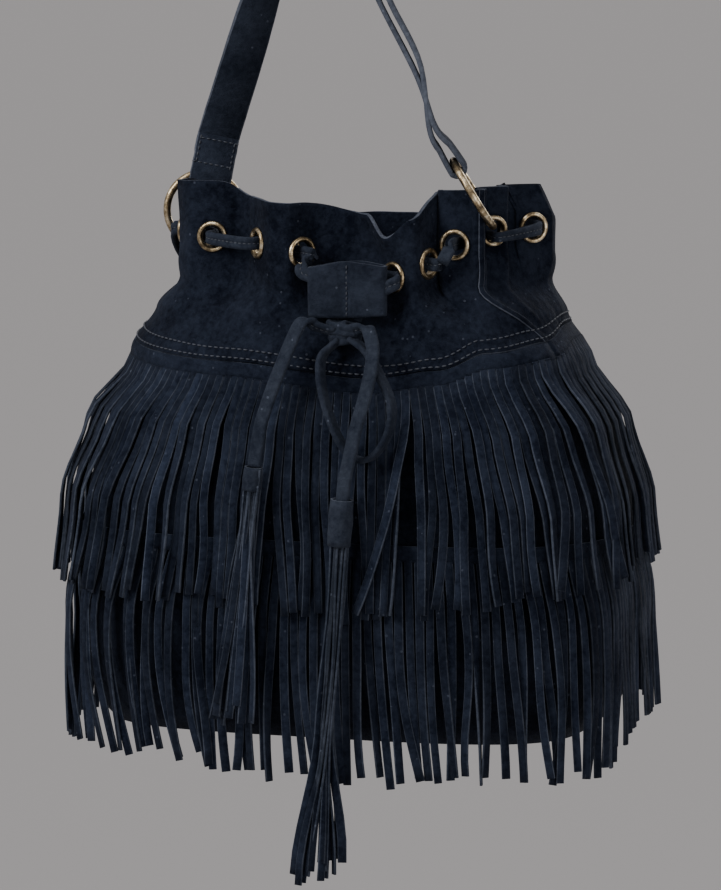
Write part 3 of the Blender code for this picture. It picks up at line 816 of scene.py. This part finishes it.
def ring(name, bottom, lean, along, node_name, body_name):
    """A brass ring; the wire's section is a circle of 14 points."""
    build = Build()
    turns = [math.tau * k / 14 for k in range(14)]
    profile = [(RING_RADIUS + RING_WIRE * math.cos(t), RING_WIRE * math.sin(t)) for t in turns]
    turned_shape(build, profile, 96, bottom + lean * RING_RADIUS, lean.cross(along).normalized())
    build.make(name, (BRASS,), (node_name,), body_name)


# ---- strap -------------------------------------------------------------------------------

def fold(bottom, lean, along):
    """The strap's turn round a ring's top wire: the short leaf, the turn, and the long leaf."""
    crown = bottom + lean * 2 * RING_RADIUS
    face = lean.cross(along)
    turn = RING_WIRE + 0.0005 + STRAP_THICK / 2
    stations = [crown + lean * STRAP_LAP + face * 0.0016, crown + lean * 0.007 + face * 0.0027]
    for k in range(7):
        angle = math.pi * k / 6
        deep = -0.0031 - turn * math.sin(angle)
        stations.append(crown + lean * deep + face * turn * math.cos(angle))
    stations.append(crown + lean * 0.007 - face * 0.0027)
    stations.append(crown + lean * STRAP_LAP - face * 0.0012)
    return stations


def strap():
    """One ribbon of suede with raw edges, and the stitches on its cuff at the left ring."""
    (low_left, lean_left, along_left), (low_right, lean_right, along_right) = ring_frames()
    left = fold(low_left, lean_left, -along_left)
    right = fold(low_right, lean_right, along_right)
    up = [hung(-0.0531, 0.0196, 0.2947), hung(-0.0446, 0.012, 0.323), hung(-0.0350, 0.003, 0.353),
          hung(-0.0290, -0.003, 0.372), hung(-0.0255, -0.0055, 0.3805)]
    top = [hung(-0.0215, -0.0085, 0.3851), hung(-0.0145, -0.0135, 0.3851)]
    down = [hung(-0.0098, -0.017, 0.3805), hung(-0.0065, -0.0195, 0.372), hung(-0.0010, -0.0235, 0.353),
            hung(0.0063, -0.028, 0.3287), hung(0.0243, -0.036, 0.2934)]
    tail = [hung(0.0262, -0.036, 0.2975), hung(0.0140, -0.031, 0.3225), hung(0.0066, -0.028, 0.3392)]
    across = (top[1] - top[0]).cross(UP).normalized()
    across = across if across.dot(along_right) > 0 else -across
    runs = [(p, along_left) for p in left]
    runs += [(p, along_left.lerp(across, min(1.0, (k + 1) / 4))) for k, p in enumerate(up)]
    runs += [(p, across) for p in top]
    runs += [(p, across.lerp(along_right, min(1.0, k / 3))) for k, p in enumerate(down)]
    runs += [(p, along_right) for p in [*reversed(right), *tail]]
    points = smooth_through([p for p, _ in runs], STEPS)
    wides = smooth_through([w for _, w in runs], STEPS)
    rag = [noise.noise(Vector((k * 0.45, 2.0, 0.0))) for k in range(len(points))]
    build = Build()
    sweep(build, points, wides, strip_section(STRAP_WIDTH, STRAP_THICK),
          scale=lambda k: (1 + 0.025 * rag[k], 1))
    made = build.make("strap_suede", (STRAP_NAP, NAP_EDGE), ("strap",))
    sewn = Build()
    crown = low_left + lean_left * 2 * RING_RADIUS
    face = along_left.cross(lean_left)
    corners = [(-0.0078, 0.0045), (-0.0078, 0.0155), (0.0078, 0.0155), (0.0078, 0.0045)]
    for start, end in zip(corners, corners[1:] + corners[:1]):
        line = [crown + along_left * u + lean_left * v + face * (0.0044 - 0.09 * v)
                for u, v in (start, end)]
        stitch_row(sewn, line, [face], 0.0026, 0.0003)
    sewn.make("strap_stitching", (THREAD,))


# ---- lace, keeper, knot and tassels ------------------------------------------------------

def lace(name, points, wides, nodes, scale=None, sewn=True):
    """A flat folded lace along the points, with its seam's stitches."""
    build = Build()
    sweep(build, points, wides, LACE_SECTION, scale)
    made = build.make(name, (LACE_NAP, NAP_EDGE), nodes)
    if sewn:
        seam = Build()
        outs = [high for _, _, high in frames_of(points, wides)]
        line = [p + h * LACE_THICK * 0.34 for p, h in zip(points, outs)]
        stitch_row(seam, line, outs, LACE_PITCH, 0.00022)
        seam.make(name + "_seam", (THREAD,))
    return made


def neck_stops():
    """The lace's route and its stops' width factors: narrower where it shares a ring's eyelet."""
    stops = [(at(*p), 1.0) for p in reversed(LACE_TO_RIGHT)]
    for step in range(len(EYELETS)):
        i = (FRONT_RUN + 1 + step) % len(EYELETS)
        centre, facing, _ = eyelet(i)
        shared = i in RING_EYELETS
        centre = centre - UP * LACE_DOWN * shared
        way = facing if i % 2 == 1 else -facing
        width = 0.72 if shared else 0.95
        stops += [(centre + way * LACE_CLEAR, width), (centre - way * LACE_CLEAR, width)]
    return stops + [(at(*p), 1.0) for p in LACE_TO_LEFT]


def drawstring():
    """The lace round the neck: its width is upright where it runs level, and level where it climbs."""
    stops = neck_stops()
    points = smooth_through([p for p, _ in stops], 5)
    widths = smooth_through([Vector((w, 0, 0)) for _, w in stops], 5)
    wides = []
    for k in range(len(points)):
        steep = ease((abs(way_at(points, k).z) - 0.45) / 0.35)
        wides.append(UP * (1 - steep) + SIDEWAYS * steep)
    made = lace("drawstring_lace", points, wides, ("drawstring",), lambda k: (widths[k].x, 1))


KEEPER_ROWS = 20
KEEPER_AROUND = 56


def keeper_skin(inset):
    """Points on the sleeve, this far inside its outer skin."""
    long, deep, tall = KEEPER_SIZE
    points = []
    for r in range(KEEPER_ROWS + 1):
        share = r / KEEPER_ROWS
        for k in range(KEEPER_AROUND):
            turn = math.tau * k / KEEPER_AROUND
            x = math.copysign(abs(math.cos(turn)) ** 0.75, math.cos(turn)) * (long / 2 - inset)
            pinch = 1 - 0.66 * math.exp(-(x / 0.0036) ** 2)
            flat = abs(math.sin(turn)) ** 0.55 * pinch
            y = math.copysign(flat, math.sin(turn)) * (deep / 2 + 0.0006 - inset)
            dent = noise.noise(Vector((x * 130, share * 3.1, 1.5 + (turn > math.pi)))) * 0.0010
            z = (share - 0.5) * tall + 0.0010 * math.sin(x * 95 + 0.8)
            z += 0.0016 * (share - 0.5) * math.cos(x * 150) - 0.0008 * share
            points.append(at(*KEEPER_AT) + Vector((x, y + dent, z)))
    return points


def keeper():
    """A suede sleeve sewn down its middle, so that it has two channels."""
    build = Build()
    verts = keeper_skin(0.0) + keeper_skin(0.0013)
    around, inner = KEEPER_AROUND, (KEEPER_ROWS + 1) * KEEPER_AROUND
    faces, slots = [], []
    for r in range(KEEPER_ROWS):
        for k in range(around):
            a, b = r * around + k, r * around + (k + 1) % around
            faces.append((a, b, b + around, a + around))
            faces.append((inner + a, inner + a + around, inner + b + around, inner + b))
            slots += [0, 0]
    for r in (0, KEEPER_ROWS):
        for k in range(around):
            a, b = r * around + k, r * around + (k + 1) % around
            faces.append((a, b, inner + b, inner + a))
            slots.append(1)
    build.add(verts, faces, slots)
    build.make("keeper_sleeve", (STRAP_NAP, NAP_EDGE), ("keeper",))
    seam = Build()
    _, deep, tall = KEEPER_SIZE
    line = [at(*KEEPER_AT) + Vector((0, -deep * 0.22, (s / 4 - 0.5) * tall * 0.94)) for s in range(5)]
    stitch_row(seam, line, [Vector((0, -1, 0))] * 4, LACE_PITCH, 0.00026)
    seam.make("keeper_stitching", (THREAD,))


def knot():
    """The lace's knot: two level turns of lace and one across them."""
    build = Build()
    centre = at(*KNOT_AT)
    wraps = ((0.0074, 0.0044, 0.14, 0.0019), (0.0062, 0.0040, -0.20, -0.0022),
             (0.0042, 0.0040, 1.30, 0.0))
    for wide, deep, tilt, rise in wraps:
        axis = Matrix.Rotation(tilt, 3, "Y")
        points, wides = [], []
        for k in range(33):
            turn = math.tau * k / 32
            local = Vector((wide * math.cos(turn), deep * math.sin(turn), rise))
            points.append(centre + axis @ local)
            wides.append(axis @ UP)
        sweep(build, points, wides, LACE_SECTION, scale=lambda k: (0.92, 0.95))
    build.make("drawstring_knot_lace", (LACE_NAP, NAP_EDGE), ("drawstring_knot",))


def hanging_cord(name, route, wide, node_name, sewn=True):
    """A free lace; its route starts in the knot and may run on inside its tassel."""
    points = smooth_through([at(*p) for p in route], STEPS)
    made = lace(name, points, [wide] * len(points), (node_name,), sewn=sewn)


def tassel_frame(ends):
    """A tassel's top, its length, the way down it, and the directions to its side and front."""
    top, tip = at(*ends[0]), at(*ends[1])
    way = (tip - top).normalized()
    side = (SIDEWAYS - way * way.x).normalized()
    return top, (tip - top).length, way, side, way.cross(side)


def tassel(name, ends, node_name, wrap, waist, spread, count, seed):
    """A strip of suede cut into strands, rolled tight round the lace's end and sewn.

    waist is how far down the strands keep together, and spread how far they part at the tips.
    """
    rng = random.Random(seed)
    top, long, way, side, front = tassel_frame(ends)
    build = Build()
    for k in range(count):
        turn = math.tau * k / count * 2.4
        ring_radius = wrap * (0.35 + 0.55 * (k / count))
        spoke = side * math.cos(turn) + front * math.sin(turn) * 0.62
        fan = rng.uniform(-1, 1)
        ends_at = long * rng.uniform(0.90, 1.0)
        wave, phase = rng.gauss(0, 0.0009), rng.uniform(0, math.tau)
        flip = rng.gauss(0, 0.7)
        points, wides = [], []
        for s in range(17):
            share = s / 16
            apart = ease((share - waist) / (1 - waist)) if share > waist else 0.0
            drop = ends_at * share
            radius = ring_radius * (1 - 0.25 * ease(share * 3)) + spread * 0.25 * apart
            sway = fan * spread * apart + wave * math.sin(phase + 7 * share) * ease(share * 2)
            points.append(top + way * drop + spoke * radius + side * sway)
            tangent = side * -math.sin(turn) + front * math.cos(turn)
            wides.append(tangent.lerp(side, 0.5 + 0.5 * apart) + front * math.sin(flip * share))
        section = strip_section(0.0035 * rng.uniform(0.8, 1.15), 0.0011)
        sweep(build, points, wides, section, tone=rng.gauss(0, 0.14))
    return build.make(name, (STRANDS, STRAND_EDGE), (node_name,))


def tassel_wrap(name, ends, start, end, radius, seed):
    """The rolled header at a tassel's top, with its lapped end."""
    top, _, way, side, front = tassel_frame(ends)
    build = Build()
    outer, inner = [], []
    for k in range(53):
        turn = math.tau * 1.18 * k / 52 - 2.2
        spiral = radius * (0.90 + 0.16 * k / 52)
        spoke = side * math.cos(turn) + front * math.sin(turn)
        for grid, inset in ((outer, 0.0), (inner, 0.0010)):
            column = []
            for r in range(9):
                share = r / 8
                bulge = 0.00035 * math.sin(math.pi * share)
                bulge += noise.noise(Vector((turn, share * 3, seed))) * 0.0003
                place = top + way * (start + (end - start) * share)
                column.append(place + spoke * (spiral + bulge - inset))
            grid.append(column)
    panel(build, outer, inner)
    return build.make(name, (LACE_NAP, NAP_EDGE))


# ---- seams and stitching -----------------------------------------------------------------

def yoke_stitching():
    """The double row of stitches along the neck's lower seam, and the raised side seams."""
    build = Build()
    for share in (0.022, 0.075):
        points, outs = [], []
        for k in range(721):
            angle = -180 + k / 2
            points.append(yoke_skin(angle, share, 0.0002))
            outs.append(outward(angle, 0.175).to_3d())
        stitch_row(build, points, outs, 0.0030, 0.00034)
    build.make("yoke_stitching", (THREAD,))
    seam = Build()
    for angle in (NECK_SEAM, NECK_SEAM - 180):
        points = [yoke_skin(angle, s / 30, 0.0001) for s in range(31)]
        wides = [(yoke_skin(angle + 1, s / 30) - yoke_skin(angle - 1, s / 30)).normalized()
                 for s in range(31)]
        sweep(seam, points, wides, strip_section(0.0026, 0.0009))
    seam.make("side_seams", (NAP, NAP_EDGE))


# ---- the object --------------------------------------------------------------------------

def camera():
    view = bpy.data.cameras.new("camera")
    view.lens = 36 * CAMERA_FAR / VIEW_HEIGHT
    thing = placed("camera", view)
    level = math.cos(CAMERA_RISE)
    away = Vector((math.sin(CAMERA_TURN) * level, -math.cos(CAMERA_TURN) * level, math.sin(CAMERA_RISE)))
    thing.location = at(0.0, 0.0, 0.1225) + away * CAMERA_FAR
    thing.rotation_euler = away.to_track_quat("Z", "Y").to_euler()
    bpy.context.scene.camera = thing


camera()

yoke("yoke_front_suede", -130, 50)
yoke("yoke_back_suede", 50, 230)
body("body_front_suede", 0, "body_front")
body("body_back_suede", 180, "body_back")
base()
yoke_stitching()

for side, end in ((0, "front"), (180, "back")):
    seam = between(SEAMS, 0.17) + side
    fringe(f"fringe_upper_{end}_strands", seam - 180, seam, f"fringe_upper_{end}", UPPER, 11 + side,
           CROSSING)
    seam = between(SEAMS, 0.08) + side
    fringe(f"fringe_lower_{end}_strands", seam - 180, seam, f"fringe_lower_{end}", LOWER, 23 + side)

for i in range(len(EYELETS)):
    grommet(i)
for (bottom, lean, along), end in zip(ring_frames(), ("left", "right")):
    ring(f"ring_{end}_brass", bottom, lean, along, f"strap_ring_{end}", f"ring_{end}")
strap()
drawstring()
keeper()
knot()

ACROSS, INTO = Vector((-1, 0.1, 0)), Vector((0.25, 1, 0))
left_wrap = tassel_wrap("tassel_left_wrap", TASSEL_LEFT, -0.0004, 0.0100, 0.0042, 1)
left_tassel = tassel("tassel_left_strands", TASSEL_LEFT, "tassel_left", 0.0036, 0.12, 0.0095, 15, 5)
hanging_cord("cord_end_left", [(0.0090, -0.0690, 0.1822), *END_LEFT], ACROSS,
             "drawstring_end_left")
right_wrap = tassel_wrap("tassel_right_wrap", TASSEL_RIGHT, -0.0004, 0.0200, 0.0052, 2)
right_tassel = tassel("tassel_right_strands", TASSEL_RIGHT, "tassel_right", 0.0044, 0.62, 0.0085, 15, 9)
hanging_cord("cord_end_right", [(0.0165, -0.0685, 0.1832), *END_RIGHT, (0.0180, -0.0946, 0.0750),
                                (0.0150, -0.0948, 0.0310)], ACROSS,
             "drawstring_end_right")
hanging_cord("cord_loop", [(0.0165, -0.0688, 0.1795), *LOOP, (0.0105, -0.0692, 0.1780)], INTO,
             "drawstring_loop", sewn=False)


# ---- stage -------------------------------------------------------------------------------

def stage():
    """A wide pale floor under the hanging bag."""
    level, radius = at(0, 0, -0.80).z, 30
    turns = [math.tau * k / 48 for k in range(48)]
    rim = [(radius * math.cos(t), radius * math.sin(t), level) for t in turns]
    mesh = bpy.data.meshes.new("floor")
    mesh.from_pydata(rim, [], [tuple(range(48))])
    mesh.materials.append(plain("floor_grey", (0.46, 0.445, 0.445)))
    placed("floor", mesh)


def light(name, place, size, power, colour=(1, 1, 1)):
    lamp = bpy.data.lights.new(name, "AREA")
    lamp.energy = power
    lamp.size = size
    lamp.color = colour
    thing = placed(name, lamp)
    thing.location = place
    thing.rotation_euler = (thing.location - at(0, 0, 0.15)).to_track_quat("Z", "Y").to_euler()


stage()
light("key", (-1.1, -1.5, 0.8), 0.9, 34)
light("fill", (1.7, -1.2, 0.1), 1.6, 14, (1, 0.97, 0.94))
light("back", (0.6, 1.7, 0.6), 1.4, 26)
sun = bpy.data.lights.new("ceiling", "SUN")
sun.energy = 0.9
sun.angle = math.radians(40)
ceiling = placed("ceiling", sun)
ceiling.rotation_euler = (math.radians(25), 0, math.radians(-20))
world = bpy.data.worlds.new("room")
world.use_nodes = True
world.node_tree.nodes["Background"].inputs["Color"].default_value = (0.92, 0.90, 0.90, 1)
world.node_tree.nodes["Background"].inputs["Strength"].default_value = 0.50
bpy.context.scene.world = world
